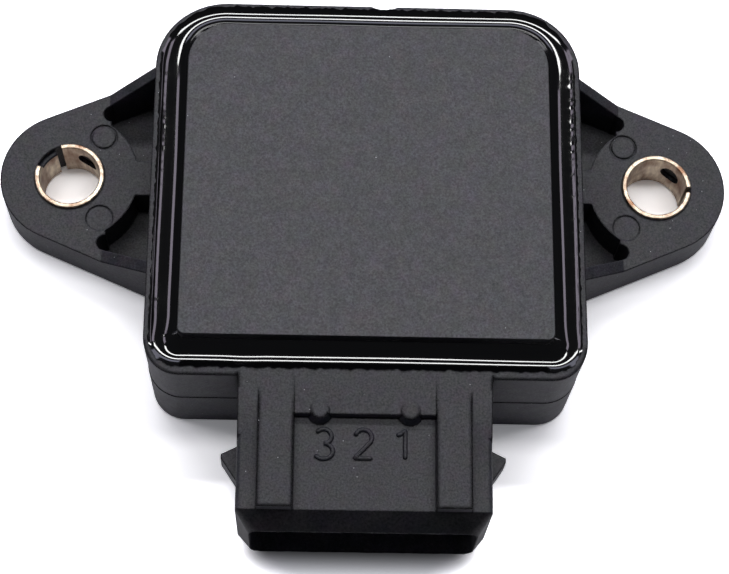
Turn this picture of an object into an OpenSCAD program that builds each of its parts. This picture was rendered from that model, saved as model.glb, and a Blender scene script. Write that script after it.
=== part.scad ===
// Throttle position sensor: a rotary potentiometer in a moulded housing
// with two fixing ears and a three-way blade header.
// Millimetres. The origin is on the rotor axis in the mounting face,
// +Z points at the cover, +X runs along the two fixing holes,
// and the header points along -Y.

/* [Body] */
// Width of the housing body
body_w = 41.8; // [40:0.2:46]
// Distance from the rotor axis to the back of the body
body_back = 14.35; // [13.8:0.05:16]
// Distance from the rotor axis to the front of the body
body_front = 24; // [23.6:0.1:26]
// Height of the body above the mounting face
body_h = 16; // [15.6:0.1:18]
// Corner radius of the body at the back
back_corner_r = 7; // [5:0.5:8]
// Corner radius of the body at the front
front_corner_r = 3.4; // [3:0.1:5]
// Thickness of the body's side walls
wall = 2; // [1.6:0.1:2.4]
// Thickness of the body's floor
floor_t = 3; // [2.8:0.1:3.4]
// Width of the rim around the sealant
rim_t = 0.75; // [0.6:0.05:1]
// Depth of the dent that the broken gate left in the rim's back
gate_dent = 0.36; // [0.1:0.02:0.4]
// Height of the mould's parting line
parting_z = 8; // [6:0.5:10]
// How far the body steps in above the parting line
parting_step = 0.06; // [0.02:0.01:0.1]

/* [Ears] */
// Distance between the two fixing holes
hole_spacing = 60; // [58:0.5:64]
// Radius of an ear around its fixing hole
ear_r = 7; // [6.5:0.1:7.6]
// Thickness of an ear
ear_t = 5; // [4.4:0.1:5.6]
// Angle of an ear's straight side to the X axis
ear_angle = 23.5; // [18:0.5:26]
// Thickness of an ear's outer ribs
rib_t = 1.2; // [0.9:0.1:1.5]
// Distance from the fixing hole to where the ribs start to rise
rib_start = 3.7; // [3:0.1:5]
// Slope of the ribs' rising tops, in degrees
rib_slope = 29; // [20:1:34]
// Thickness of the skin under the ears' pockets
pocket_floor = 0.8; // [0.6:0.1:1.4]
// Width of the web between an ear's boss and the body
web_w = 3.8; // [3:0.1:5]
// Radius of the ejector marks on the ears
mark_r = 1.37; // [1:0.05:1.5]
// Depth of the ejector marks
mark_depth = 0.12; // [0.05:0.01:0.2]

/* [Bushings] */
// Outer radius of a fixing bushing
bushing_r = 3.53; // [3.3:0.01:3.8]
// Sheet thickness of a bushing
bushing_wall = 0.5; // [0.4:0.05:0.6]
// How far a bushing stands above its ear
bushing_proud = 0.35; // [0.1:0.05:0.6]
// Width of a bushing's rolled split
split_w = 0.75; // [0.4:0.05:1]
// Radius of the locking hole in a bushing
lock_hole_r = 0.85; // [0.5:0.05:1]

/* [Cover] */
// Distance from the rim's inner wall to the raised panel at the sides
groove_side = 2.55; // [2.2:0.05:3]
// Distance from the rim's inner wall to the raised panel at the back
groove_back = 2.45; // [2.2:0.05:3]
// Distance from the rim's inner wall to the raised panel at the front
groove_front = 2.2; // [2:0.05:3]
// Height of the raised panel above the rim
panel_rise = 1.95; // [1:0.05:2.5]
// Corner radius of the panel at the back
panel_back_r = 4; // [2:0.1:5]
// Corner radius of the panel at the front
panel_front_r = 0.7; // [0.5:0.1:2]
// Bevel along the panel's top edge
panel_bevel = 0.3; // [0.2:0.05:0.5]
// Thickness of the cover's flange and skin
cover_t = 1.3; // [1.1:0.05:1.6]
// Depth of the sealant's surface below the rim
sealant_drop = 0.45; // [0.3:0.05:0.6]
// Thickness of the sealant
sealant_t = 1.05; // [0.8:0.05:1.4]

/* [Header] */
// Width of the header's shell
header_w = 23.7; // [23:0.1:25]
// Distance from the rotor axis to the end of the shell's full section
header_reach = 36.75; // [36:0.05:38]
// Height of the shell's section
header_h = 10.7; // [10.2:0.1:11.4]
// How far the shell's top lies below the body's rim
header_drop = 1.2; // [0.9:0.1:1.5]
// Length of the tapered mouth
mouth_len = 1.75; // [1.2:0.05:2.2]
// How far the mouth tapers in on each side
mouth_inset = 1.22; // [1:0.02:1.3]
// Wall thickness of the shell
shell_t = 1.32; // [1.3:0.02:1.5]
// Corner radius of the socket
socket_r = 1.3; // [0.5:0.1:1.5]
// Corner radius of the mouth
mouth_r = 1.3; // [0.6:0.1:1.5]
// Radius along the shell's long edges
shell_edge_r = 0.5; // [0.2:0.1:0.8]
// Depth of the socket behind the mouth
socket_depth = 12.2; // [11:0.1:12.4]
// Width of a coding rail on top of the shell
rail_w = 3.3; // [2.8:0.1:3.8]
// Distance from the middle to a coding rail's inner side
rail_x = 6.6; // [6.2:0.1:7]
// Length of the plateau between the rails
plateau_len = 3.9; // [3:0.1:5]
// How far the plateau's end lies below the rails
plateau_drop = 0.18; // [0.05:0.01:0.3]
// Distance from the middle to each small boss on the plateau
boss_x = 4.2; // [3.6:0.1:4.8]
// Radius of a small boss at its top
boss_r = 0.85; // [0.6:0.05:1.1]
// How far a latch wedge stands out of the shell's side
latch_out = 1.6; // [1.2:0.1:2]
// Height of a latch wedge along Z
latch_h = 2.8; // [2:0.1:4]
// Length of a latch wedge's ramp
latch_len = 2.4; // [1.8:0.1:3]

/* [Terminals] */
// Distance between neighbouring blades
pitch = 5; // [4.6:0.1:5.2]
// Width of a blade
blade_w = 2.8; // [2.4:0.1:3]
// Thickness of a blade
blade_t = 0.8; // [0.6:0.1:1]
// How far the blades' tips lie inside the mouth
blade_recess = 1.6; // [1:0.1:2.5]
// Width of a terminal's upright tail
tail_w = 1.4; // [1:0.1:1.8]
// Thickness of a terminal's upright tail
tail_t = 0.6; // [0.5:0.05:0.8]

/* [Rotor] */
// Radius of the rotor's hub
hub_r = 5.95; // [5.6:0.05:6.1]
// Radius of the D-shaped socket for the throttle shaft
socket_bore_r = 4; // [3.6:0.1:4.2]
// Distance from the axis to the socket's flat
socket_flat = 3; // [2.6:0.1:3.4]
// Running clearance of the hub in the housing
run_gap = 0.05; // [0.02:0.01:0.08]
// Radius of the rotor's flange
flange_r = 7.9; // [7.6:0.1:8.2]
// Thickness of the rotor's flange
flange_t = 1.45; // [1.2:0.05:1.6]
// Radius of the rotor's stub under the board
stub_r = 3.4; // [3:0.1:3.8]
// Radius of the rotor's journal in the cover
journal_r = 2.5; // [2:0.1:2.7]
// Useful turn of the rotor between its stops, in degrees
turn = 95; // [86:1:100]
// Half the angle that the rotor's stop lug takes up
lug_half = 9; // [6:1:10]
// Outer radius of the rotor's stop lug
lug_r = 10.6; // [10:0.1:11.4]

/* [Seals] */
// Section diameter of the O-ring in the mounting face
o_ring_d = 2; // [1.8:0.05:2.2]
// Mean radius of the O-ring
o_ring_r = 8.33; // [8.2:0.01:8.6]
// How far the O-ring stands out of the mounting face
o_ring_proud = 0.4; // [0.3:0.05:0.5]
// Section width of the shaft seal
seal_w = 1; // [0.8:0.05:1.05]

/* [Board] */
// Thickness of the resistor board
board_t = 0.8; // [0.6:0.05:1]
// Gap between the board's edge and the body's walls
board_gap = 1.2; // [0.8:0.1:2]
// Mean radius of the resistor track
track_r = 11; // [10.6:0.1:11.4]
// Mean radius of the collector track
collector_r = 8; // [7.4:0.1:8.4]
// Width of each track
track_w = 1.8; // [1.4:0.1:2]
// Thickness of the printed layers
print_t = 0.06; // [0.04:0.01:0.08]
// Gap between the wiper's fingers and the tracks
finger_gap = 0.04; // [0.02:0.01:0.08]
// Number of fingers on each side of the wiper
finger_count = 3; // [2:1:4]
// Radius of the wiper carrier
carrier_r = 12.4; // [12:0.1:13]
// Thickness of the wiper carrier
carrier_t = 1.2; // [1:0.1:1.4]

/* [Hidden] */

$fn = 48;
eps = 0.01;
black = "#17181b";
soft_black = "#222326";

// Cover and sealant levels, from the rim down
sealant_z = body_h - sealant_drop;
flange_top = sealant_z - sealant_t;
ledge_z = flange_top - cover_t;
panel_z = body_h + panel_rise;

// Header levels
shell_top = body_h - header_drop;
shell_bottom = shell_top - header_h;
blade_z = (shell_top + shell_bottom) / 2;
mouth_y = -(header_reach + mouth_len);
socket_back = mouth_y + socket_depth;
root_len = 1.5;
root_ramp = 4.2;
latch_rear = 29.75;
latch_tip = 0.8;
latch_flat = 0.4;

// The rotor, the board and the cover's boss share the room over the floor
room = ledge_z - floor_t;
board_z = ledge_z - 0.2745 * room;
board_top = board_z + board_t;
boss_z = ledge_z - 0.0588 * room;

// Rotor stack, from the mounting face up
hub_bottom = 0.5;
washer_t = 0.3;
tube_top = floor_t + 0.2059 * room;
flange_z = tube_top + washer_t + run_gap;
carrier_z = flange_z + flange_t;
carrier_top = carrier_z + carrier_t;
spring_h = 0.5;
spring_t = 0.25;
shoulder_z = boss_z - spring_h - run_gap;
journal_len = 1.9;
cover_boss_r = 4.2;
bore_r = hub_r + run_gap;

// The stop lug rests against one stop and sweeps a turn to the other
lug_rest = 90 - turn / 2;
stop_half = 6;
stop_gap = 1;
stop_r = 8.6;
wiper_rest = lug_rest + 180;
track_span = turn + 22;

// The gate was on the back wall, above the cover's ledge
gate_x = 1.6;
gate_r = 3;

// The face groove that holds the O-ring
groove_clear = 0.1;
seal_z = 1.9;
seal_h = 1.1;

// Board posts stand on the floor, and their melted heads hold the board
post_r = 1.5;
pin_r = 0.7;
stake_r = 1.25;
stake_h = 0.5;
post_x = 14.2;
post_back = 8.6;
post_front = 14;
board_hole_r = 5.2;
tail_y = -19.2;
tail_clear = 0.2;
solder_r = 1.4;
via_r = 0.4;

// Where the ejector marks lie, from the fixing hole and the X axis
mark_x = 3.25;
mark_y = 4.46;

// A rectangle about the rotor axis with one radius at the back corners
// and another at the front ones
module body_outline(inset = 0, half = body_w / 2, back = body_back,
                    front = body_front, back_r = back_corner_r,
                    front_r = front_corner_r) {
    x = half - inset;
    yb = back - inset;
    yf = front - inset;
    rb = max(back_r - inset, 0.5);
    rf = max(front_r - inset, 0.5);
    translate([-x, -yf + rf]) square([2 * x, yb + yf - rb - rf]);
    translate([-x + rb, 0]) square([2 * (x - rb), yb]);
    translate([-x + rf, -yf]) square([2 * (x - rf), yf]);
    for (side = [-1, 1]) {
        translate([side * (x - rb), yb - rb]) circle(r = rb);
        translate([side * (x - rf), -yf + rf]) circle(r = rf);
    }
}

module panel_outline(inset = 0) {
    body_outline(inset, half = body_w / 2 - rim_t - groove_side,
                 back = body_back - rim_t - groove_back,
                 front = body_front - rim_t - groove_front,
                 back_r = panel_back_r, front_r = panel_front_r);
}

// A flat ring sector between two radii, about the angle mid
module sector(r_in, r_out, mid, half_angle) {
    far = 2 * r_out;
    intersection() {
        difference() {
            circle(r = r_out);
            circle(r = r_in);
        }
        polygon([[0, 0],
                 far * [cos(mid - half_angle), sin(mid - half_angle)],
                 far * [cos(mid), sin(mid)],
                 far * [cos(mid + half_angle), sin(mid + half_angle)]]);
    }
}

// Ear: half of the outline, drawn for the ear at +X
hole_x = hole_spacing / 2;
tangent_x = hole_x + ear_r * sin(ear_angle);
tangent_y = ear_r * cos(ear_angle);
root_x = body_w / 2 - wall;

// Y of the ear's straight side at a distance x from the rotor axis
function ear_side(x) = tangent_y + (tangent_x - x) * tan(ear_angle);

module ear_outline(inset = 0) {
    drop = inset / cos(ear_angle);
    translate([hole_x, 0]) circle(r = ear_r - inset);
    polygon([[root_x, -ear_side(root_x) + drop],
             [tangent_x - inset * sin(ear_angle), -tangent_y + inset * cos(ear_angle)],
             [tangent_x - inset * sin(ear_angle), tangent_y - inset * cos(ear_angle)],
             [root_x, ear_side(root_x) - drop]]);
}

// The two pockets between the boss, the web and the outer ribs
pocket_end_r = 0.85;
pocket_end_x = hole_x - rib_start - 0.25;
module ear_pockets() {
    pocket_mid = ear_side(pocket_end_x) - rib_t / cos(ear_angle) - pocket_end_r / cos(ear_angle);
    difference() {
        intersection() {
            ear_outline(rib_t);
            union() {
                translate([root_x, -body_w]) square([pocket_end_x - root_x, 2 * body_w]);
                for (side = [-1, 1])
                    translate([pocket_end_x, side * pocket_mid]) circle(r = pocket_end_r);
            }
        }
        translate([hole_x, 0]) circle(r = ear_r);
        translate([root_x, -web_w / 2]) square([hole_x - root_x, web_w]);
    }
}

// Side view of an ear: flat top, then the ribs' rise to the body
module ear_profile() {
    rise_x = hole_x - rib_start;
    top = ear_t + (rise_x - root_x) * tan(rib_slope);
    polygon([[root_x, 0], [hole_x + 2 * ear_r, 0], [hole_x + 2 * ear_r, ear_t],
             [rise_x, ear_t], [root_x, top]]);
}

module ear() {
    rib_top = ear_t + hole_x;
    difference() {
        union() {
            linear_extrude(ear_t) ear_outline();
            intersection() {
                linear_extrude(rib_top) difference() {
                    ear_outline();
                    ear_outline(rib_t);
                    translate([hole_x, -ear_r]) square([2 * ear_r, 2 * ear_r]);
                }
                translate([0, body_w, 0]) rotate([90, 0, 0])
                    linear_extrude(2 * body_w) ear_profile();
            }
        }
        translate([0, 0, pocket_floor]) linear_extrude(body_h) ear_pockets();
        translate([hole_x, 0, -eps]) cylinder(r = bushing_r, h = body_h);
        for (side = [-1, 1])
            translate([hole_x - mark_x, side * mark_y, ear_t - mark_depth])
                difference() {
                    cylinder(r = mark_r, h = 1);
                    // The marks in front are sunk, those behind are rings
                    if (side > 0) translate([0, 0, -eps])
                        cylinder(r = mark_r - 0.18, h = 1 + 2 * eps);
                }
    }
}

// The header's section at a distance inside its faces, X across and Z up
module header_section(inset, r) {
    half = header_w / 2 - inset;
    low = shell_bottom + inset;
    high = shell_top - inset;
    translate([-half + r, low]) square([2 * (half - r), high - low]);
    translate([-half, low + r]) square([2 * half, high - low - 2 * r]);
    for (x = [-half + r, half - r])
        for (z = [low + r, high - r])
            translate([x, z]) circle(r = r);
}

// Carries a section along +Y, from the given place
module along_header(from_y, length) {
    translate([0, from_y, 0]) rotate([90, 0, 0]) mirror([0, 0, 1])
        linear_extrude(length) children();
}

// Header shell with its tapered mouth
module shell_solid() {
    along_header(-header_reach, header_reach - body_front + wall)
        header_section(0, shell_edge_r);
    hull() {
        along_header(-header_reach, eps) header_section(0, shell_edge_r);
        along_header(mouth_y, eps) header_section(mouth_inset, mouth_r);
    }
}

// Rails, root block, plateau and the two small bosses on the shell's top
module shell_top_forms() {
    half = header_w / 2;
    start = body_front - wall;
    plateau_end = body_front + plateau_len;
    foot = shell_top - shell_edge_r;
    for (side = [-1, 1]) {
        translate([side * (rail_x + rail_w / 2) - rail_w / 2, -header_reach, shell_top - eps])
            cube([rail_w, header_reach - start, header_drop + eps]);
        translate([side * boss_x, -plateau_end + 0.4, shell_top - eps])
            cylinder(r1 = boss_r + 0.31, r2 = boss_r, h = header_drop - plateau_drop / 3 + eps);
    }
    // The root beside the rails sinks gently to the shell's top
    for (side = [-1, 1])
        translate([side * (half + rail_x) / 2 - (half - rail_x) / 2, 0, 0])
            rotate([90, 0, 90]) linear_extrude(half - rail_x)
                polygon([[-start, foot], [-start, body_h], [-body_front - root_len, body_h],
                         [-body_front - root_len - root_ramp, shell_top],
                         [-body_front - root_len - root_ramp - shell_edge_r, foot]]);
    // The plateau leaves the rim flush and ends a little below the rails
    translate([-rail_x - eps, 0, 0]) rotate([90, 0, 90]) linear_extrude(2 * (rail_x + eps))
        polygon([[-start, shell_top - eps], [-start, body_h], [-body_front, body_h],
                 [-plateau_end, body_h - plateau_drop], [-plateau_end, shell_top - eps]]);
}

// Latch wedge on the shell's side at +X
module latch_wedge() {
    half = header_w / 2;
    translate([0, 0, blade_z - latch_h / 2 + 0.1]) linear_extrude(latch_h)
        polygon([[half - eps, -latch_rear],
                 [half + latch_out, -latch_rear - latch_tip],
                 [half + latch_out, -latch_rear - latch_tip - latch_flat],
                 [half - eps, -latch_rear - latch_tip - latch_flat - latch_len]]);
}

module post_places() {
    for (side = [-1, 1]) {
        translate([side * post_x, post_back]) children();
        translate([side * post_x, -post_front]) children();
    }
}

module terminal_places() {
    for (i = [-1, 0, 1]) translate([i * pitch, 0, 0]) children();
}

module body_shell() {
    difference() {
        union() {
            linear_extrude(parting_z) body_outline();
            linear_extrude(body_h) body_outline(parting_step);
        }
        translate([0, 0, floor_t]) linear_extrude(body_h) body_outline(wall);
        translate([0, 0, ledge_z]) linear_extrude(body_h) body_outline(rim_t);
    }
}

module rotor_bearing() {
    linear_extrude(tube_top) circle(r = o_ring_r);
}

module turn_stops() {
    for (angle = [lug_rest - lug_half - stop_gap - stop_half,
                  lug_rest + turn + lug_half + stop_gap + stop_half])
        translate([0, 0, floor_t - eps])
            linear_extrude(carrier_z - floor_t - 0.3)
                sector(stop_r, lug_r + 0.4, angle, stop_half);
}

module board_posts() {
    post_places() {
        translate([0, 0, floor_t - eps]) cylinder(r = post_r, h = board_z - floor_t + eps);
        translate([0, 0, board_z - eps]) cylinder(r = pin_r, h = board_t + 2 * eps);
        translate([0, 0, board_top]) cylinder(r1 = stake_r, r2 = pin_r, h = stake_h);
    }
}

module housing() {
    color(black) difference() {
        union() {
            body_shell();
            difference() {
                union() {
                    ear();
                    mirror([1, 0, 0]) ear();
                }
                translate([0, 0, -1]) linear_extrude(body_h + 2) body_outline(rim_t / 2);
            }
            difference() {
                union() {
                    shell_solid();
                    shell_top_forms();
                    latch_wedge();
                    mirror([1, 0, 0]) latch_wedge();
                }
                translate([0, 0, -1]) linear_extrude(body_h + 2) body_outline(rim_t / 2);
            }
            rotor_bearing();
            turn_stops();
            board_posts();
        }
        // Socket of the header
        along_header(mouth_y - 1, socket_depth + 1) header_section(shell_t, socket_r);
        // Slots that the blades pass through
        terminal_places() translate([-blade_w / 2, socket_back - 1, blade_z - blade_t / 2])
            cube([blade_w, body_front, blade_t]);
        // Bearing bore with the shaft seal's groove
        translate([0, 0, -1]) cylinder(r = bore_r, h = body_h);
        translate([0, 0, seal_z]) cylinder(r = bore_r + seal_w, h = seal_h);
        // Dent of the broken gate in the rim's back
        translate([gate_x, body_back + gate_r - gate_dent, ledge_z])
            cylinder(r = gate_r, h = body_h);
        // Face groove for the O-ring
        translate([0, 0, -1]) linear_extrude(1 + o_ring_d - o_ring_proud) difference() {
            circle(r = o_ring_r + o_ring_d / 2 + groove_clear);
            circle(r = o_ring_r - o_ring_d / 2 - groove_clear);
        }
    }
}

// Cover plate: a flange under the sealant and a hollow raised panel
module cover() {
    color(soft_black) difference() {
        union() {
            translate([0, 0, ledge_z]) linear_extrude(cover_t) body_outline(rim_t + 0.15);
            translate([0, 0, ledge_z]) linear_extrude(panel_z - panel_bevel - ledge_z)
                panel_outline();
            hull() {
                translate([0, 0, panel_z - panel_bevel - 2 * eps]) linear_extrude(eps)
                    panel_outline();
                translate([0, 0, panel_z - eps]) linear_extrude(eps)
                    panel_outline(panel_bevel);
            }
        }
        difference() {
            translate([0, 0, ledge_z - 1]) linear_extrude(panel_z - cover_t - ledge_z + 1)
                panel_outline(cover_t);
            translate([0, 0, boss_z]) cylinder(r = cover_boss_r, h = body_h);
        }
        translate([0, 0, boss_z - 1])
            cylinder(r = journal_r + run_gap, h = 1 + journal_len + 0.3);
    }
    // The boss reaches below the flange to the rotor's journal
    color(soft_black) difference() {
        translate([0, 0, boss_z]) cylinder(r = cover_boss_r, h = panel_z - cover_t - boss_z);
        translate([0, 0, boss_z - 1])
            cylinder(r = journal_r + run_gap, h = 1 + journal_len + 0.3);
    }
}

module sealant() {
    color("#08080a") translate([0, 0, flange_top]) linear_extrude(sealant_t) difference() {
        body_outline(rim_t);
        panel_outline();
    }
}

// Rolled split sleeve, with its split and its locking hole turned to angles
module bushing(split_angle, lock_angle) {
    color("#c9a45c") difference() {
        cylinder(r = bushing_r, h = ear_t + bushing_proud);
        translate([0, 0, -1]) cylinder(r = bushing_r - bushing_wall, h = body_h);
        rotate([0, 0, split_angle]) translate([0, -split_w / 2, -1])
            cube([2 * bushing_r, split_w, body_h]);
        rotate([0, 0, lock_angle]) translate([0, 0, ear_t * 0.55]) rotate([0, 90, 0])
            cylinder(r = lock_hole_r, h = 2 * bushing_r);
    }
}

module bushing_left() {
    translate([-hole_x, 0, 0]) bushing(113, 48);
}

module bushing_right() {
    translate([hole_x, 0, 0]) bushing(-4, 46);
}

module o_ring() {
    color("#1c1c1e") translate([0, 0, o_ring_d / 2 - o_ring_proud]) rotate_extrude()
        translate([o_ring_r, 0]) circle(r = o_ring_d / 2);
}

// Lip seal in the bearing bore
module shaft_seal() {
    lip = 0.3;
    color("#2a2420") translate([0, 0, seal_z]) rotate_extrude()
        polygon([[bore_r + 0.35, 0], [bore_r + seal_w, 0], [bore_r + seal_w, seal_h],
                 [bore_r + 0.35, seal_h], [bore_r + 0.3, seal_h / 2 + lip],
                 [hub_r + 0.02, seal_h / 2 + lip / 3], [hub_r + 0.02, seal_h / 2 - lip / 3],
                 [bore_r + 0.3, seal_h / 2 - lip]]);
}

module thrust_washer() {
    color("#d8d2c0") translate([0, 0, tube_top]) linear_extrude(washer_t) difference() {
        circle(r = flange_r - 0.2);
        circle(r = bore_r + 0.1);
    }
}

module rotor() {
    color("#d9d6cc") difference() {
        union() {
            translate([0, 0, hub_bottom]) cylinder(r = hub_r, h = flange_z - hub_bottom + eps);
            translate([0, 0, flange_z]) cylinder(r = flange_r, h = flange_t);
            translate([0, 0, flange_z]) linear_extrude(flange_t)
                sector(flange_r - 1, lug_r, lug_rest, lug_half);
            translate([0, 0, carrier_z - eps]) cylinder(r = stub_r, h = shoulder_z - carrier_z + eps);
            translate([0, 0, shoulder_z - eps])
                cylinder(r = journal_r, h = boss_z + journal_len - shoulder_z);
        }
        // D-shaped socket, open towards the throttle shaft
        difference() {
            translate([0, 0, -1]) cylinder(r = socket_bore_r, h = flange_z + 1.2);
            rotate([0, 0, lug_rest]) translate([socket_flat, -body_w / 2, -2])
                cube([body_w, body_w, body_h]);
        }
    }
}

// Moulded plate on the rotor that carries the wiper
module wiper_carrier() {
    color("#5b4a2f") translate([0, 0, carrier_z]) difference() {
        linear_extrude(carrier_t) {
            circle(r = flange_r);
            sector(stub_r, carrier_r, wiper_rest, 24);
        }
        translate([0, 0, -1]) cylinder(r = stub_r, h = body_h);
    }
}

// One finger in side view: a strip that runs from its foot up to the curled tip
finger_t = 0.12;
finger_tip = board_z - print_t - finger_gap;
finger_path = [[0, carrier_top], [1.4, carrier_top], [4.2, finger_tip - 0.5],
               [4.6, finger_tip - 0.2], [4.9, finger_tip - finger_t],
               [5.1, finger_tip - 0.2], [5.3, finger_tip - 0.45]];
module finger_profile() {
    last = len(finger_path) - 1;
    polygon(concat(finger_path,
                   [for (i = [last : -1 : 0]) finger_path[i] + [0, finger_t]]));
}

// The wiper bridges both tracks: a base plate with two rows of fingers
module wiper() {
    finger_w = track_w / (2 * finger_count - 1);
    base_h = finger_t;
    base_w = 1.5;
    reach = finger_path[4][0] - base_w;
    color("#d6c27a") rotate([0, 0, wiper_rest]) {
        translate([collector_r - track_w / 2, -reach, carrier_top])
            cube([track_r - collector_r + track_w, base_w, base_h]);
        for (r = [collector_r, track_r])
            for (i = [0 : finger_count - 1])
                translate([r - track_w / 2 + 2 * i * finger_w, -reach, 0])
                    rotate([90, 0, 90]) linear_extrude(finger_w) finger_profile();
    }
}

// Disc spring that takes up the rotor's end play
module preload_spring() {
    inner = journal_r + 0.1;
    outer = cover_boss_r - 0.3;
    color("#b9bcc0") translate([0, 0, shoulder_z]) rotate_extrude()
        polygon([[inner, spring_h - spring_t], [outer, 0], [outer, spring_t], [inner, spring_h]]);
}

module board_outline() {
    intersection() {
        body_outline(wall + board_gap);
        translate([-body_w, tail_y - 1.6]) square([2 * body_w, body_w]);
    }
}

module resistor_board() {
    color("#e8e2cf") difference() {
        translate([0, 0, board_z]) linear_extrude(board_t) board_outline();
        translate([0, 0, board_z - 1]) cylinder(r = board_hole_r, h = 3);
        post_places() translate([0, 0, board_z - 1]) cylinder(r = pin_r, h = 3);
        translate([0, -collector_r, board_z - 1]) cylinder(r = via_r, h = 3);
        terminal_places()
            translate([-tail_w / 2 - tail_clear, tail_y - tail_t / 2 - tail_clear, board_z - 1])
                cube([tail_w + 2 * tail_clear, tail_t + 2 * tail_clear, 3]);
    }
}

module track(r, span) {
    translate([0, 0, board_z - print_t]) linear_extrude(print_t)
        sector(r - track_w / 2, r + track_w / 2, 270, span / 2);
}

module resistor_track() {
    color("#1d2b24") track(track_r, track_span);
}

module collector_track() {
    color("#2c2f30") track(collector_r, track_span);
}

// Silver traces from the tracks to the terminals
module conductors() {
    trace_w = 1.2;
    end_angle = track_span / 2;
    end_x = (track_r) * sin(end_angle);
    end_y = -(track_r) * cos(end_angle);
    pad_y = tail_y + tail_t / 2 + tail_clear;
    color("#c9ccd0") translate([0, 0, board_z - print_t]) linear_extrude(print_t) {
        difference() {
            union() {
                for (side = [-1, 1]) {
                    translate([side * (end_x + trace_w) - trace_w / 2, pad_y + trace_w])
                        square([trace_w, end_y - pad_y - trace_w + track_w / 2]);
                    translate([min(side * pitch, side * (end_x + trace_w)) - trace_w / 2, pad_y])
                        square([end_x + trace_w - pitch + trace_w, trace_w + eps]);
                    translate([min(side * end_x, side * (end_x + trace_w)) - trace_w / 2,
                               end_y - trace_w / 2])
                        square([2 * trace_w, trace_w]);
                }
            }
            sector(track_r - track_w / 2, track_r + track_w / 2, 270, end_angle);
        }
    }
    // The collector's lead crosses over on the board's top side, through a plated hole
    lead_start = tail_y + solder_r + finger_gap;
    color("#c9ccd0") {
        translate([-trace_w / 2, lead_start, board_top])
            cube([trace_w, -collector_r - lead_start + trace_w / 2, print_t]);
        translate([0, -collector_r, board_z]) cylinder(r = via_r, h = board_t + eps);
    }
}

// Blade terminal: tapered tip, blade, and a tail that turns up to the board
module terminal(x) {
    tip = mouth_y + blade_recess;
    taper = 0.9;
    color("#c8c3b4") translate([x, 0, 0]) {
        translate([0, 0, blade_z - blade_t / 2]) linear_extrude(blade_t)
            polygon([[-blade_w / 2 + taper / 2, tip], [blade_w / 2 - taper / 2, tip],
                     [blade_w / 2, tip + taper], [blade_w / 2, -body_front + wall],
                     [tail_w / 2, -body_front + wall], [tail_w / 2, tail_y + tail_t / 2],
                     [-tail_w / 2, tail_y + tail_t / 2], [-tail_w / 2, -body_front + wall],
                     [-blade_w / 2, -body_front + wall], [-blade_w / 2, tip + taper]]);
        translate([-tail_w / 2, tail_y - tail_t / 2, blade_z - blade_t / 2])
            cube([tail_w, tail_t, board_top + 0.8 - blade_z + blade_t / 2]);
    }
}

module terminal_1() { terminal(pitch); }
module terminal_2() { terminal(0); }
module terminal_3() { terminal(-pitch); }

module solder_joint(x) {
    color("#d4d6d8") difference() {
        translate([x, tail_y, board_top]) cylinder(r1 = solder_r, r2 = 0.9, h = 0.55);
        translate([x - tail_w / 2, tail_y - tail_t / 2, board_top - 1])
            cube([tail_w, tail_t, 3]);
    }
}

module solder_joint_1() { solder_joint(pitch); }
module solder_joint_2() { solder_joint(0); }
module solder_joint_3() { solder_joint(-pitch); }

housing();
cover();
sealant();
bushing_left();
bushing_right();
o_ring();
shaft_seal();
thrust_washer();
rotor();
wiper_carrier();
wiper();
preload_spring();
resistor_board();
resistor_track();
collector_track();
conductors();
terminal_1();
terminal_2();
terminal_3();
solder_joint_1();
solder_joint_2();
solder_joint_3();
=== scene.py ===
# Throttle position sensor: surfaces, finishes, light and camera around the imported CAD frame.
# Lengths are in millimetres and turned to metres where a mesh is made.
import math

import bmesh
import bpy
import numpy as np
from mathutils import Matrix, Vector


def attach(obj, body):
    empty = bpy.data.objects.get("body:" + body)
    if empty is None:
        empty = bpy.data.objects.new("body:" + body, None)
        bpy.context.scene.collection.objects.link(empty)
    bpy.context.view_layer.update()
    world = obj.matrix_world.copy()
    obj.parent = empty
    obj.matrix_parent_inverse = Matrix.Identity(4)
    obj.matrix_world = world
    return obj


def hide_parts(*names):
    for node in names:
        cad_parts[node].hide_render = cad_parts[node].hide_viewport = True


mm = 0.001
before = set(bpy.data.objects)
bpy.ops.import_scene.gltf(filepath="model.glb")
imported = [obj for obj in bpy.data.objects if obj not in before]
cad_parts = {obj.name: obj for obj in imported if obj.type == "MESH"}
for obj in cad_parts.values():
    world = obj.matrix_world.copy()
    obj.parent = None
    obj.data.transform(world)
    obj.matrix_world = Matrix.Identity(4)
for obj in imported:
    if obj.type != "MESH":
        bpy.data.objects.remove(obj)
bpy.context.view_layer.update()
scene = bpy.context.scene
scene.view_settings.view_transform = "Standard"
print("frame loaded:", len(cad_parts), "nodes")

# The body as the CAD has it
body = {
    "halfWidth": 20.9, "back": 14.35, "front": 24.0, "backRadius": 7.0, "frontRadius": 3.4,
    "top": 16.0, "rim": 0.75, "partingHeight": 8.0, "shellTop": 14.8, "holeX": 30.0,
}


# Helpers for meshes
def gridPiece(name, points, closeAlong=True):
    # A smooth mesh from a grid of points (along, across, xyz) in mm, closed on itself across the path
    # and, unless the path has two ends, along it too
    along, across = points.shape[:2]
    rows = np.arange(along if closeAlong else along - 1)
    i, j = [part.ravel() for part in np.meshgrid(rows, np.arange(across), indexing="ij")]
    nextI, nextJ = (i + 1) % along, (j + 1) % across
    faces = np.stack([i * across + j, nextI * across + j, nextI * across + nextJ, i * across + nextJ], axis=1)
    mesh = bpy.data.meshes.new(name)
    mesh.from_pydata((points.reshape(-1, 3) * mm).tolist(), [], faces.tolist())
    mesh.polygons.foreach_set("use_smooth", np.full(len(mesh.polygons), True))
    piece = bpy.data.objects.new(name, mesh)
    bpy.context.collection.objects.link(piece)
    return piece


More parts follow.
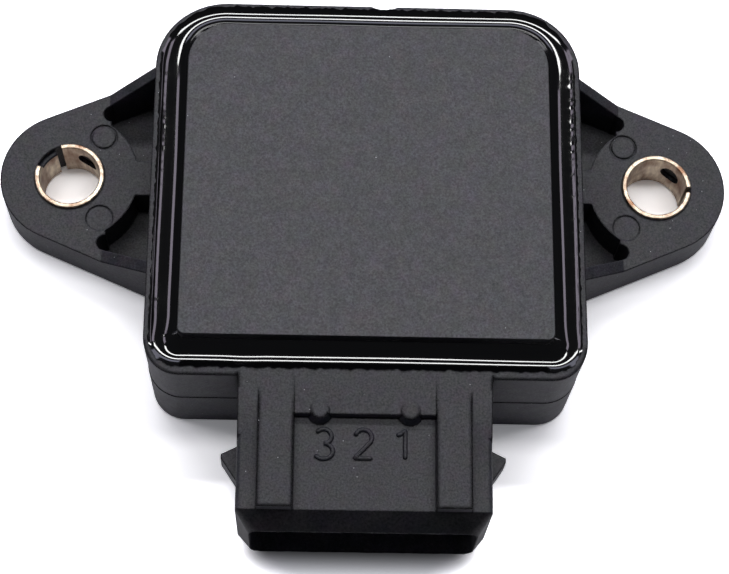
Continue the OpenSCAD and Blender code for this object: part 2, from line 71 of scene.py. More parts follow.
def turnOutwards(piece):
    # Every face of a closed piece turned to face out of it
    shell = bmesh.new()
    shell.from_mesh(piece.data)
    bmesh.ops.recalc_face_normals(shell, faces=shell.faces)
    shell.to_mesh(piece.data)
    shell.free()


def closeEnds(piece):
    # A face over each open end of a piece
    shell = bmesh.new()
    shell.from_mesh(piece.data)
    bmesh.ops.holes_fill(shell, edges=[edge for edge in shell.edges if edge.is_boundary])
    shell.to_mesh(piece.data)
    shell.free()
    turnOutwards(piece)


def arcPoints(cx, cy, rx, ry, start, end, count=14):
    # Centre plus the two radii times cosine and sine, from the start angle to the end angle in degrees
    angles = np.radians(np.linspace(start, end, count))
    return np.stack([cx + rx * np.cos(angles), cy + ry * np.sin(angles)], axis=1)


def roundedOutline(form, inset, count):
    # Rectangle with arcs at its corners, anticlockwise from the right front, moved in by the inset
    x, yb, yf = form["halfWidth"] - inset, form["back"] - inset, form["front"] - inset
    rb, rf = max(form["backRadius"] - inset, 0.05), max(form["frontRadius"] - inset, 0.05)
    corners = [
        (x - rf, -yf + rf, rf, -90), (x - rb, yb - rb, rb, 0),
        (-x + rb, yb - rb, rb, 90), (-x + rf, -yf + rf, rf, 180),
    ]
    arcs = [
        arcPoints(cx, cy, radius, radius, start, start + 90, count["arc"])
        for cx, cy, radius, start in corners]
    steps = np.linspace(0, 1, count["side"] + 2)[1:-1, None]
    loop = []
    for k, arc in enumerate(arcs):
        loop += [arc, arc[-1] * (1 - steps) + arcs[(k + 1) % 4][0] * steps]
    return np.concatenate(loop)


def outwardNormals(outline):
    # The chord between a point's two neighbours, turned a quarter to the right and made one long
    tangent = np.roll(outline, -1, axis=0) - np.roll(outline, 1, axis=0)
    tangent /= np.linalg.norm(tangent, axis=1)[:, None]
    return np.stack([tangent[:, 1], -tangent[:, 0]], axis=1)


def waves(position, seed, periods, amplitudes):
    # A sum of sines along a closed path, position from 0 to 1, so that it meets itself
    rng = np.random.default_rng(seed)
    total = np.zeros_like(position)
    for period, amplitude in zip(periods, amplitudes):
        total += amplitude * np.sin(2 * math.pi * (period * position + rng.random()))
    return total


def smoothStep(value, low, high):
    # 0 below low, 1 above high and a soft S between them: three times the square less twice the cube
    t = np.clip((value - low) / (high - low), 0, 1)
    return t * t * (3 - 2 * t)


# Helpers for materials
noiseSpan = {"From Min": 0.3, "From Max": 0.7}  # most of a noise's values lie in it


def linearColour(code):
    # sRGB hex to linear RGBA
    parts = np.array([int(code[i:i + 2], 16) for i in (1, 3, 5)]) / 255.0
    linear = np.where(parts <= 0.04045, parts / 12.92, ((parts + 0.055) / 1.055) ** 2.4)
    return (*[float(value) for value in linear], 1.0)


def patternScale(size):
    # The scale of a noise or cell pattern, from its real size in mm
    return 1 / (size * mm)


def addNode(tree, kind, sockets=None, **settings):
    # One node with its settings; a socket value may be a number, a colour or another node's output
    made = tree.nodes.new(kind)
    for key, value in settings.items():
        setattr(made, key, value)
    for key, value in (sockets or {}).items():
        if isinstance(value, bpy.types.NodeSocket):
            tree.links.new(value, made.inputs[key])
        else:
            made.inputs[key].default_value = value
    return made


def newMaterial(name):
    # An empty node material and its tree
    made = bpy.data.materials.new(name)
    made.use_nodes = True
    made.node_tree.nodes.clear()
    return made, made.node_tree


# Finishes
def mouldedPbt(name, look):
    # Black glass-filled PBT: an even fine grain that spreads the light, mottling where the melt met,
    # sparse pale specks of fibre and dust, and rounded edges with painted shade, and a painted highlight on
    # those that lean to the back
    made, tree = newMaterial(name)
    place = addNode(tree, "ShaderNodeTexCoord").outputs["Object"]
    mottle = addNode(tree, "ShaderNodeTexNoise", {
        "Vector": place, "Scale": patternScale(look["mottleSize"]), "Detail": 3.0, "Roughness": 0.6})
    mottleShare = addNode(tree, "ShaderNodeMapRange", {
        "Value": mottle.outputs["Fac"], "From Min": 0.32, "From Max": 0.68})
    grain = addNode(tree, "ShaderNodeTexNoise", {
        "Vector": place, "Scale": patternScale(look["grainSize"]), "Detail": 2.0, "Roughness": 0.65})
    grainTone = addNode(tree, "ShaderNodeMapRange", {
        "Value": grain.outputs["Fac"], **noiseSpan,
        "To Min": 1 - look["grainContrast"], "To Max": 1 + look["grainContrast"]})

    # specks: the middles of some of the cells
    speckPattern = addNode(tree, "ShaderNodeTexVoronoi", {
        "Vector": place, "Scale": patternScale(look["speckSpacing"]), "Randomness": 1.0})
    speckChoice = addNode(tree, "ShaderNodeTexWhiteNoise", {
        "Vector": speckPattern.outputs["Position"]}, noise_dimensions="3D")
    speckNear = addNode(tree, "ShaderNodeMath", {
        0: speckPattern.outputs["Distance"], 1: look["speckSize"] / look["speckSpacing"]},
        operation="LESS_THAN")
    speckKept = addNode(tree, "ShaderNodeMath", {
        0: speckChoice.outputs["Value"], 1: look["speckShare"]}, operation="LESS_THAN")
    speck = addNode(tree, "ShaderNodeMath", {
        0: speckNear.outputs[0], 1: speckKept.outputs[0]}, operation="MULTIPLY")

    # edges: painted shade where the rounded normal turns away from the face, turning to a painted highlight
    # on the edges that lean to the back
    rounded = addNode(tree, "ShaderNodeBevel", {"Radius": look["edgeRadius"] * mm}, samples=6)
    faceNormal = addNode(tree, "ShaderNodeNewGeometry").outputs["Normal"]
    turned = addNode(tree, "ShaderNodeVectorMath", {
        0: rounded.outputs["Normal"], 1: faceNormal}, operation="DOT_PRODUCT")
    leans = addNode(tree, "ShaderNodeSeparateXYZ", {"Vector": rounded.outputs["Normal"]}).outputs["Y"]
    edgeShadeToHighlight = addNode(tree, "ShaderNodeMapRange", {
        "Value": leans, "From Min": 0.02, "From Max": 0.35,
        "To Min": look["paintedEdgeShade"], "To Max": look["backEdgeHighlight"]})
    paintedEdgeShade = addNode(tree, "ShaderNodeMapRange", {
        "Value": turned.outputs["Value"], "From Min": 0.93, "From Max": 0.9995,
        "To Min": edgeShadeToHighlight.outputs["Result"], "To Max": 1.0})

    # colour: mottled and faintly tinted, times the grain's tone and the edges' painted shade and highlight,
    # with the specks on it
    plainTone = addNode(tree, "ShaderNodeMix", {
        "Factor": mottleShare.outputs["Result"],
        "A": linearColour(look["dark"]), "B": linearColour(look["light"])}, data_type="RGBA")
    tint = addNode(tree, "ShaderNodeVectorMath", {
        0: mottle.outputs["Color"], 1: (look["tint"],) * 3, 2: (1 - look["tint"] / 2,) * 3},
        operation="MULTIPLY_ADD")
    tone = addNode(tree, "ShaderNodeVectorMath", {
        0: plainTone.outputs["Result"], 1: tint.outputs["Vector"]}, operation="MULTIPLY")
    grainAndEdgeShade = addNode(tree, "ShaderNodeMath", {
        0: grainTone.outputs["Result"], 1: paintedEdgeShade.outputs["Result"]}, operation="MULTIPLY")
    toned = addNode(tree, "ShaderNodeVectorMath", {
        0: tone.outputs["Vector"], "Scale": grainAndEdgeShade.outputs[0]}, operation="SCALE")
    colour = addNode(tree, "ShaderNodeMix", {
        "Factor": speck.outputs[0], "A": toned.outputs["Vector"], "B": linearColour(look["speckColour"])},
        data_type="RGBA")

    rough = addNode(tree, "ShaderNodeMapRange", {
        "Value": mottle.outputs["Fac"], **noiseSpan, "To Min": look["roughLow"], "To Max": look["roughHigh"]})
    gloss = addNode(tree, "ShaderNodeMath", {0: grainAndEdgeShade.outputs[0], 1: look["gloss"]}, operation="MULTIPLY")
    bump = addNode(tree, "ShaderNodeBump", {
        "Height": grain.outputs["Fac"], "Distance": look["grainDepth"] * mm, "Strength": 1.0,
        "Normal": rounded.outputs["Normal"]})
    surface = addNode(tree, "ShaderNodeBsdfPrincipled", {
        "Base Color": colour.outputs["Result"], "Roughness": rough.outputs["Result"], "IOR": 1.54,
        "Specular IOR Level": gloss.outputs[0], "Normal": bump.outputs["Normal"]})
    addNode(tree, "ShaderNodeOutputMaterial", {"Surface": surface.outputs["BSDF"]})
    return made


# The housing's moulding has coarse grain, the front rim's copy has a wider rounding with darker painted shade
# on it, the cover's is paler, and a darker, slightly smoother copy with less sheen is painted shade on faces
# that lie in shade
housingLook = {
    "mottleSize": 1.5, "tint": 0.9, "dark": "#13141a", "light": "#25242c",
    "grainSize": 0.19, "grainContrast": 0.32, "grainDepth": 0.014,
    "speckSpacing": 0.9, "speckSize": 0.045, "speckShare": 0.5, "speckColour": "#8e8f94",
    "roughLow": 0.5, "roughHigh": 0.6, "gloss": 0.36,
    "edgeRadius": 0.27, "paintedEdgeShade": 0.25, "backEdgeHighlight": 1.4,
}
# The front rim's copy: a wider rounding with a darker band of painted shade on its edge
frontRimShadeLook = {**housingLook, "edgeRadius": 0.6, "paintedEdgeShade": 0.12}
coverLook = {
    "mottleSize": 1.7, "tint": 0.9, "dark": "#1a1b21", "light": "#2c2b34",
    "grainSize": 0.19, "grainContrast": 0.32, "grainDepth": 0.012,
    "speckSpacing": 1.6, "speckSize": 0.055, "speckShare": 0.15, "speckColour": "#9a9ba0",
    "roughLow": 0.5, "roughHigh": 0.56, "gloss": 0.46,
    "edgeRadius": 0.1, "paintedEdgeShade": 0.6, "backEdgeHighlight": 1.0,
}
# A darker, slightly smoother copy of the moulding with less sheen: painted shade for faces that lie in shade
shadeCopyLook = {
    "mottleSize": 3.0, "tint": 0.8, "dark": "#0d0d10", "light": "#151518",
    "grainSize": 0.25, "grainContrast": 0.3, "grainDepth": 0.01,
    "speckSpacing": 1.6, "speckSize": 0.05, "speckShare": 0.15, "speckColour": "#5c5d61",
    "roughLow": 0.46, "roughHigh": 0.52, "gloss": 0.2,
    "edgeRadius": 0.12, "paintedEdgeShade": 1.0, "backEdgeHighlight": 1.0,
}
housingPbt = mouldedPbt("glassFilledPbtMoulded", housingLook)
frontRimShadePbt = mouldedPbt("glassFilledPbtFrontRimPaintedShade", frontRimShadeLook)
coverPbt = mouldedPbt("finePbtMoulded", coverLook)
paintedShadePbt = mouldedPbt("pbtPaintedShadeCopy", shadeCopyLook)

epoxyLook = {
    "colour": "#050506", "roughness": 0.07, "waveSize": 2.6, "waveDepth": 0.003,
    "nibSpacing": 2.2, "nibSize": 0.06, "nibDepth": 0.02,
}


def pottedEpoxy(look):
    # Black two-part epoxy, poured and cured in the groove: a wet mirror with dust nibs and faint waves
    made, tree = newMaterial("epoxyPotted")
    place = addNode(tree, "ShaderNodeTexCoord").outputs["Object"]
    wave = addNode(tree, "ShaderNodeTexNoise", {
        "Vector": place, "Scale": patternScale(look["waveSize"]), "Detail": 2.0})
    nibPattern = addNode(tree, "ShaderNodeTexVoronoi", {
        "Vector": place, "Scale": patternScale(look["nibSpacing"])})
    nib = addNode(tree, "ShaderNodeMapRange", {
        "Value": nibPattern.outputs["Distance"], "From Max": look["nibSize"] / look["nibSpacing"],
        "To Min": 1.0, "To Max": 0.0})
    waveBump = addNode(tree, "ShaderNodeBump", {
        "Height": wave.outputs["Fac"], "Distance": look["waveDepth"] * mm, "Strength": 1.0})
    nibBump = addNode(tree, "ShaderNodeBump", {
        "Height": nib.outputs["Result"], "Distance": look["nibDepth"] * mm, "Strength": 1.0,
        "Normal": waveBump.outputs["Normal"]})
    surface = addNode(tree, "ShaderNodeBsdfPrincipled", {
        "Base Color": linearColour(look["colour"]), "Roughness": look["roughness"], "IOR": 1.56,
        "Specular IOR Level": 1.0, "Normal": nibBump.outputs["Normal"]})
    addNode(tree, "ShaderNodeOutputMaterial", {"Surface": surface.outputs["BSDF"]})
    return made


def metalFinish(name, look):
    # Bare or plated metal: drawn along its length, so streaks, and dulled in patches
    made, tree = newMaterial(name)
    place = addNode(tree, "ShaderNodeTexCoord").outputs["Object"]
    stretched = addNode(tree, "ShaderNodeMapping", {"Vector": place, "Scale": look["stretch"]})
    streak = addNode(tree, "ShaderNodeTexNoise", {
        "Vector": stretched.outputs["Vector"], "Scale": patternScale(look["streakSize"]),
        "Detail": 3.0, "Roughness": 0.6})
    patch = addNode(tree, "ShaderNodeTexNoise", {
        "Vector": place, "Scale": patternScale(look["patchSize"]), "Detail": 2.0})
    mixed = addNode(tree, "ShaderNodeMath", {
        0: streak.outputs["Fac"], 1: patch.outputs["Fac"]}, operation="MULTIPLY")
    share = addNode(tree, "ShaderNodeMapRange", {
        "Value": mixed.outputs[0], "From Min": 0.12, "From Max": 0.4})
    colour = addNode(tree, "ShaderNodeMix", {
        "Factor": share.outputs["Result"],
        "A": linearColour(look["dark"]), "B": linearColour(look["light"])}, data_type="RGBA")
    rough = addNode(tree, "ShaderNodeMapRange", {
        "Value": streak.outputs["Fac"], **noiseSpan, "To Min": look["roughLow"], "To Max": look["roughHigh"]})
    bump = addNode(tree, "ShaderNodeBump", {
        "Height": streak.outputs["Fac"], "Distance": look["depth"] * mm, "Strength": 1.0})
    surface = addNode(tree, "ShaderNodeBsdfPrincipled", {
        "Base Color": colour.outputs["Result"], "Metallic": 1.0, "Roughness": rough.outputs["Result"],
        "Normal": bump.outputs["Normal"]})
    addNode(tree, "ShaderNodeOutputMaterial", {"Surface": surface.outputs["BSDF"]})
    return made


def plainMoulding(name, look):
    # An even material with a fine grain: rubber, nylon, ceramic or printed ink
    made, tree = newMaterial(name)
    place = addNode(tree, "ShaderNodeTexCoord").outputs["Object"]
    grain = addNode(tree, "ShaderNodeTexNoise", {
        "Vector": place, "Scale": patternScale(look["grainSize"]), "Detail": 3.0})
    colour = addNode(tree, "ShaderNodeMix", {
        "Factor": grain.outputs["Fac"], "A": linearColour(look["dark"]), "B": linearColour(look["light"])},
        data_type="RGBA")
    rough = addNode(tree, "ShaderNodeMapRange", {
        "Value": grain.outputs["Fac"], **noiseSpan, "To Min": look["roughLow"], "To Max": look["roughHigh"]})
    bump = addNode(tree, "ShaderNodeBump", {
        "Height": grain.outputs["Fac"], "Distance": look["depth"] * mm, "Strength": 1.0})
    surface = addNode(tree, "ShaderNodeBsdfPrincipled", {
        "Base Color": colour.outputs["Result"], "Roughness": rough.outputs["Result"], "IOR": look["ior"],
        "Normal": bump.outputs["Normal"]})
    addNode(tree, "ShaderNodeOutputMaterial", {"Surface": surface.outputs["BSDF"]})
    return made


epoxy = pottedEpoxy(epoxyLook)
# rolled steel sheet with a yellow passivation: pale and warm, streaked along the roll
sleeveSteel = metalFinish("yellowPassivatedSteel", {
    "stretch": (1, 1, 0.25), "streakSize": 0.7, "patchSize": 2.6, "dark": "#85624c", "light": "#f6e9d2",
    "roughLow": 0.34, "roughHigh": 0.46, "depth": 0.002})
# blank spring steel: grey, with the sheen of cold rolling
springSteel = metalFinish("springSteelBlank", {
    "stretch": (1, 1, 1), "streakSize": 0.3, "patchSize": 2.0, "dark": "#8e9195", "light": "#c4c7cb",
    "roughLow": 0.25, "roughHigh": 0.4, "depth": 0.004})
# tinned brass strip, stamped: a soft white shine drawn along the blades
tinnedBrass = metalFinish("tinnedBrassStrip", {
    "stretch": (1, 0.2, 1), "streakSize": 0.25, "patchSize": 2.0, "dark": "#a9a69c", "light": "#dedbd2",
    "roughLow": 0.22, "roughHigh": 0.38, "depth": 0.004})
# gold-plated contact alloy: bright and yellow
wiperAlloy = metalFinish("goldPlatedAlloy", {
    "stretch": (1, 1, 1), "streakSize": 0.2, "patchSize": 1.5, "dark": "#b09657", "light": "#e9d79c",
    "roughLow": 0.18, "roughHigh": 0.3, "depth": 0.003})
# reflowed solder: bright, with soft waves
solderTin = metalFinish("solderTinReflowed", {
    "stretch": (1, 1, 1), "streakSize": 0.5, "patchSize": 1.0, "dark": "#b4b6b9", "light": "#e2e4e6",
    "roughLow": 0.15, "roughHigh": 0.3, "depth": 0.01})
# screen-printed silver ink: pale grey and dull
silverInk = metalFinish("silverInkPrinted", {
    "stretch": (1, 1, 1), "streakSize": 0.15, "patchSize": 0.8, "dark": "#a3a6aa", "light": "#cfd2d6",
    "roughLow": 0.45, "roughHigh": 0.6, "depth": 0.006})
# moulded nitrile rubber: dull black
nitrileRubber = plainMoulding("nitrileRubberMoulded", {
    "grainSize": 0.3, "dark": "#19191b", "light": "#242427",
    "roughLow": 0.5, "roughHigh": 0.65, "depth": 0.01, "ior": 1.5})
# unfilled nylon: milky white
naturalNylon = plainMoulding("naturalNylonMoulded", {
    "grainSize": 0.8, "dark": "#cfc8b6", "light": "#dcd6c6",
    "roughLow": 0.4, "roughHigh": 0.5, "depth": 0.01, "ior": 1.53})
# phenolic with its brown filler
brownPhenolic = plainMoulding("phenolicMoulded", {
    "grainSize": 0.6, "dark": "#43321f", "light": "#5c472d",
    "roughLow": 0.4, "roughHigh": 0.5, "depth": 0.01, "ior": 1.55})
# fired alumina, unglazed: off-white and chalky
alumina = plainMoulding("aluminaFired", {
    "grainSize": 0.3, "dark": "#ddd6c4", "light": "#ebe6d8",
    "roughLow": 0.55, "roughHigh": 0.7, "depth": 0.006, "ior": 1.76})
# printed carbon ink: black with a green cast
carbonInk = plainMoulding("carbonInkPrinted", {
    "grainSize": 0.12, "dark": "#171c1a", "light": "#242b28",
    "roughLow": 0.45, "roughHigh": 0.6, "depth": 0.006, "ior": 1.55})
print("finishes made")


# Housing and cover: the CAD shapes with moulded edges
def evenNormals(mesh, sharpAngle):
    # Corner normals that keep flat faces flat beside small roundings: each flat patch counts by its whole
    # area and the angle it fills at the corner, however it is cut in triangles. Edges past the angle stay
    # sharp
    shell = bmesh.new()
    shell.from_mesh(mesh)
    shell.faces.ensure_lookup_table()
    patch = list(range(len(shell.faces)))

    def root(i):
        while patch[i] != i:
            patch[i] = patch[patch[i]]
            i = patch[i]
        return i

    sharp = math.radians(sharpAngle)
    flat = math.radians(0.5)
    smooth = {}
    for edge in shell.edges:
        turn = edge.calc_face_angle(math.pi) if len(edge.link_faces) == 2 else math.pi
        smooth[edge] = turn < sharp
        if turn < flat:
            patch[root(edge.link_faces[0].index)] = root(edge.link_faces[1].index)
    area = {}
    for face in shell.faces:
        area[root(face.index)] = area.get(root(face.index), 0.0) + face.calc_area() / mm ** 2
    normals = [None] * sum(len(face.loops) for face in shell.faces)
    for vertex in shell.verts:
        waiting = {loop.face: loop for loop in vertex.link_loops}
        while waiting:
            first, _ = waiting.popitem()
            fan, front = [first], [first]
            while front:
                face = front.pop()
                for edge in face.edges:
                    if vertex in edge.verts and smooth[edge]:
                        for other in edge.link_faces:
                            if other in waiting:
                                waiting.pop(other)
                                fan.append(other)
                                front.append(other)
            total = Vector((0, 0, 0))
            corners = [loop for face in fan for loop in face.loops if loop.vert == vertex]
            for loop in corners:
                total += loop.face.normal * (loop.calc_angle() * area[root(loop.face.index)])
            for loop in corners:
                normals[loop.index] = total.normalized() if total.length > 0 else loop.face.normal.copy()
    shell.free()
    mesh.normals_split_custom_set(normals)


panelEdge = {
    "share": 0.8,          # of the bevel's width that the top face takes over
    "level": 0.02,         # how far under the highest point still counts as the top
    "bevel": (0.1, 0.8),   # how far under it the bevel's lower edge lies
}


def crispTop(shell):
    # Carries the ring round the highest face out over the bevel below it, so that less bevel is left
    points = np.array([vertex.co for vertex in shell.verts]) / mm
    highest = points[:, 2].max()
    near, far = panelEdge["bevel"]
    ring = np.flatnonzero(points[:, 2] > highest - panelEdge["level"])
    below = np.flatnonzero((points[:, 2] > highest - far) & (points[:, 2] < highest - near))
    shell.verts.ensure_lookup_table()
    for index in ring:
        away = points[below, :2] - points[index, :2]
        nearest = away[np.argmin((away ** 2).sum(axis=1))]
        shell.verts[index].co.x += nearest[0] * panelEdge["share"] * mm
        shell.verts[index].co.y += nearest[1] * panelEdge["share"] * mm


frontWall = {
    "atTop": 0.42, "atParting": 0.18,  # how far it stands out there
    "beside": 12.0,                    # from this X outwards, beside the header
    "start": -22.9,                    # Y in front of which the wall's faces lie
    "within": (-0.2, 0.1),             # about the corner's radius, to tell the outer wall's vertices
}


def leanFront(shell):
    # The front wall beside the header stands out a little towards its top, round to the corners, where
    # it fades with the square of the share that faces the front
    radius = body["frontRadius"]
    straight, centre = body["halfWidth"] - radius, -body["front"] + radius
    start = frontWall["start"] * mm
    for x in (-frontWall["beside"], frontWall["beside"]):
        faces = [face for face in shell.faces if all(vertex.co.y < start for vertex in face.verts)]
        edges = {edge for face in faces for edge in face.edges}
        vertices = {vertex for face in faces for vertex in face.verts}
        bmesh.ops.bisect_plane(
            shell, geom=[*faces, *edges, *vertices],
            plane_co=(x * mm, 0, 0), plane_no=(1, 0, 0), dist=0.001 * mm)
    nearest, farthest = [radius + margin for margin in frontWall["within"]]
    for vertex in shell.verts:
        x, y, z = vertex.co / mm
        out = Vector((x - min(max(x, -straight), straight), y - centre))
        if abs(x) < frontWall["beside"] - 0.05 or y > centre or not nearest < out.length < farthest:
            continue
        atTop, atParting, height = frontWall["atTop"], frontWall["atParting"], body["partingHeight"]
        if z < height:
            amount = atParting * z / height
        else:
            amount = atParting + (atTop - atParting) * (z - height) / (body["top"] - height)
        out = out.normalized() * amount * (out.y / out.length) ** 2
        vertex.co.x += out.x * mm
        vertex.co.y += out.y * mm


def weldedCopy(node, name, change, sharpAngle=28):
    # The node's own shape, welded, changed and smooth but for edges past the sharp angle, which the
    # finish rounds
    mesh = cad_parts[node].data.copy()
    mesh.name = name
    piece = bpy.data.objects.new(name, mesh)
    bpy.context.collection.objects.link(piece)
    shell = bmesh.new()
    shell.from_mesh(mesh)
    bmesh.ops.remove_doubles(shell, verts=shell.verts, dist=0.0005 * mm)
    change(shell)
    shell.to_mesh(mesh)
    shell.free()
    mesh.polygons.foreach_set("use_smooth", np.full(len(mesh.polygons), True))
    mesh.set_sharp_from_angle(angle=math.radians(sharpAngle))
    evenNormals(mesh, sharpAngle)
    return piece


def finishFaces(piece, finishes, chosen):
    # Each face gets the finish that chosen gives, from its centre in mm and its normal
    piece.data.materials.clear()
    for finish in finishes:
        piece.data.materials.append(finish)
    slots = [int(chosen(face.center / mm, face.normal)) for face in piece.data.polygons]
    piece.data.polygons.foreach_set("material_index", np.array(slots, dtype=np.int32))


housingZones = {
    "taperStart": -36.9,   # Y where the header's end begins to taper
    "frontStart": -21.0,   # Y where the front rim begins
    "wallEnd": -24.6,      # Y just in front of the front wall
    "rimLevel": 15.9, "wallLevel": 9.0, "beside": 11.9,
}


def housingSlot(centre, normal):
    # The taper at the header's end is painted shade, with a darker copy of the moulding; the front rim and
    # the wall under it, beside the header, get a wider rounding with darker painted shade on it
    if centre.y < housingZones["taperStart"]:
        return 1
    onRim = centre.z > housingZones["rimLevel"]
    besideHeader = abs(centre.x) > housingZones["beside"] and centre.y > housingZones["wallEnd"]
    onWall = besideHeader and centre.z > housingZones["wallLevel"] and normal.z > -0.2
    return 2 if centre.y < housingZones["frontStart"] and (onRim or onWall) else 0


def coverSlot(centre, normal):
    # The raised panel's sides are painted shade, with a darker copy of the moulding
    return normal.z < 0.95 and centre.z > 14


housing = weldedCopy("housing", "housing_moulded", leanFront)
finishFaces(housing, (housingPbt, paintedShadePbt, frontRimShadePbt), housingSlot)
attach(housing, "base")
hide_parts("housing")

cover = weldedCopy("cover", "cover_moulded", crispTop)
finishFaces(cover, (coverPbt, paintedShadePbt), coverSlot)
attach(cover, "base")
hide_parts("cover")
print("housing and cover made")


# Potting: a trough of epoxy that climbs the rim and the panel's wall
potting = {
    "film": 16.008,        # level of its outer edge, on the rim
    "sunk": 0.02,          # of its underside in the rim
    "bottom": 14.5,        # the cover's flange under it
    "fallWidth": 0.9,      # in which it settles from the rim's level to the trough's
    "steepest": 0.6,       # the arc's sine at which it leaves the arc and climbs straight
    "straightSlope": 0.75,
    "highest": 16.9,       # where it meets the panel's wall, at most
    "softness": 0.05,      # of its end there
    # beside the rim the climb is uneven along the sides, from one X to the other, and less on the left
    "uneven": {"depth": 0.05, "width": 0.3, "leftShare": 0.45, "sides": (18.5, 20)},
    # a place at the header's left side where it leaves the rim less steeply
    "slack": {"x": -11.5, "halfWidth": 1.6, "sine": 0.035},
    "steps": 48, "lapSteps": 7,
    # the panel's wall, at the potting's level
    "panel": {"halfWidth": 17.6, "back": 11.15, "front": 21.05, "backRadius": 4.0, "frontRadius": 0.7},
    # how steeply it leaves the rim in degrees, the radius of the trough that surface tension draws,
    # how far it laps over the rim and how steeply
    "rimAngle": {"front": 14.3, "left": 35.0, "right": 28.7, "back": 15.2},
    "radius": {"front": 1.87, "left": 1.85, "right": 1.79, "back": 1.8},
    "lap": {"front": 0.34, "left": 0.25, "right": 0.2, "back": 0.33},
    "lapAngle": {"front": 26.0, "left": 8.0, "right": 8.0, "back": 28.0},
    # the stretches of Y over which each changes from the front to the sides and on to the back
    "corners": {
        "rimAngle": (-23.2, -18.6, 8, 13), "radius": (-23.2, -18.6, 8, 13), "lap": (-22.9, -21.9, 10.5, 13.2),
        "lapAngle": (-21.9, -20.9, 7.4, 9.5), "dip": (-22.5, -14, 1, 13), "fall": (-22.5, -17, 5, 12),
    },
}


def pottingSurface():
    # Across the groove the surface is an arc that falls from the rim's inner outline, turns and climbs the
    # panel's wall. Over the rim it rises gently to a ragged outer edge. The climb wanders along the groove
    count = {"arc": 60, "side": 300}
    outer = roundedOutline(body, body["rim"], count)
    inner = roundedOutline(potting["panel"], 0.0, count)
    position = np.linspace(0, 1, len(outer), endpoint=False)[:, None]
    width = np.linalg.norm(outer - inner, axis=1)[:, None]
    x, y = outer[:, :1], outer[:, 1:]

    def nearEnds(name):
        # how much the front's and the back's value count, from 0 to 1
        frontLow, frontHigh, backLow, backHigh = potting["corners"][name]
        return 1 - smoothStep(y, frontLow, frontHigh), smoothStep(y, backLow, backHigh)

    def blended(name, values):
        # the side's value, turning into the front's and the back's
        nearFront, nearBack = nearEnds(name)
        beside = np.where(x > 0, values["right"], values["left"])
        return beside + (values["front"] - beside) * nearFront + (values["back"] - beside) * nearBack

    front, back = nearEnds("rimAngle")
    rimAngle, radius = [blended(name, potting[name]) for name in ("rimAngle", "radius")]
    reach, lapAngle = [blended(name, potting[name]) for name in ("lap", "lapAngle")]
    # the trough's floor changes level slowly, so that it carries no lights of its own
    dips, falls = {}, {}
    for at in ("front", "left", "right", "back"):
        dips[at] = potting["radius"][at] * (1 - math.cos(math.radians(potting["rimAngle"][at])))
        falls[at] = potting["lap"][at] * math.tan(math.radians(potting["lapAngle"][at]))
    dip, fall = blended("dip", dips), blended("fall", falls)
    ragged = waves(position, 2, (61, 97, 139, 211), (0.12, 0.1, 0.1, 0.08))
    lap = np.clip(reach * (1 + ragged), 0.01, 0.6)
    steps = np.linspace(0, 1, potting["steps"])[None, :]
    overRim = np.linspace(-1, 0, potting["lapSteps"])[None, :-1]
    distance = np.concatenate([overRim * lap, steps * width], axis=1)
    inGroove = np.maximum(distance, 0)

    # the arc, with the rim's angle and the radius wandering, and the slack place
    slack, uneven = potting["slack"], potting["uneven"]
    rimSine = np.sin(np.radians(rimAngle)) * (1 + waves(position, 5, (3, 7), (0.04, 0.03)))
    rimSine -= slack["sine"] * np.exp(-((x - slack["x"]) / slack["halfWidth"]) ** 2) * front
    radius = radius * (1 + waves(position, 7, (4, 9), (0.015, 0.01)))
    sine = np.clip(rimSine - inGroove / radius, -potting["steepest"], 0.9)
    arc = radius * (1 - np.sqrt(1 - sine ** 2))
    height = potting["film"] - dip + arc - fall * (1 - np.exp(-inGroove / potting["fallWidth"]))
    pastArc = np.maximum(inGroove - (rimSine + potting["steepest"]) * radius, 0)
    height += pastArc * potting["straightSlope"]
    # the uneven climb beside the rim
    beside = smoothStep(np.abs(x), *uneven["sides"]) * (1 - front) * (1 - back)
    depth = uneven["depth"] * beside * np.where(x > 0, 1.0, uneven["leftShare"])
    ripple = waves(position, 6, (37, 67, 113, 171), (0.4, 0.5, 0.4, 0.3))
    height += depth * inGroove * np.exp(-inGroove / uneven["width"]) * ripple
    # over the rim it rises outwards, and at the panel it ends softly at the highest level
    height += np.tan(np.radians(lapAngle)) * np.maximum(-distance, 0)
    soft = potting["softness"]
    height = height - np.log1p(np.exp((height - potting["highest"]) / soft)) * soft

    share = (distance / width)[..., None]
    flat = outer[:, None, :] * (1 - share) + inner[:, None, :] * share
    top = np.concatenate([flat, height[..., None]], axis=2)
    # the underside: sunk in the rim outside, and down to the flange inside
    rimStep = potting["lapSteps"] - 1
    edge = top[:, :1].copy()
    edge[..., 2] = body["top"] - potting["sunk"]
    foot = top[:, rimStep:rimStep + 1].copy()
    foot[..., 2] = body["top"] - potting["sunk"]
    under = np.stack([top[:, -1], top[:, rimStep]], axis=1)
    under[..., 2] = potting["bottom"]
    piece = gridPiece("potting_surface", np.concatenate([top, under, foot, edge], axis=1))
    turnOutwards(piece)
    piece.data.set_sharp_from_angle(angle=math.radians(40))
    return piece


pottingPiece = pottingSurface()
pottingPiece.data.materials.append(epoxy)
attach(pottingPiece, "base")
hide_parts("sealant")


# Rolled sleeves in the ears
sleeve = {
    "outer": 3.53, "wall": 0.5, "height": 5.35, "split": 0.72, "chamfer": 0.05, "columns": 560,
    "lockRadius": 1.06, "lockHeight": 2.95, "lockDepth": 0.42,
    "burr": 0.006,         # of the lip
    "beaten": 0.85,        # how deep the lip is beaten down where there is a dent
    # angles in degrees; the left one's dent runs from one angle to another
    "left": {"centreX": -body["holeX"], "splitAngle": 113, "lockAngle": 59, "dent": (116, 160), "seed": 21},
    "right": {"centreX": body["holeX"], "splitAngle": -4, "lockAngle": 52, "dent": None, "seed": 33},
}


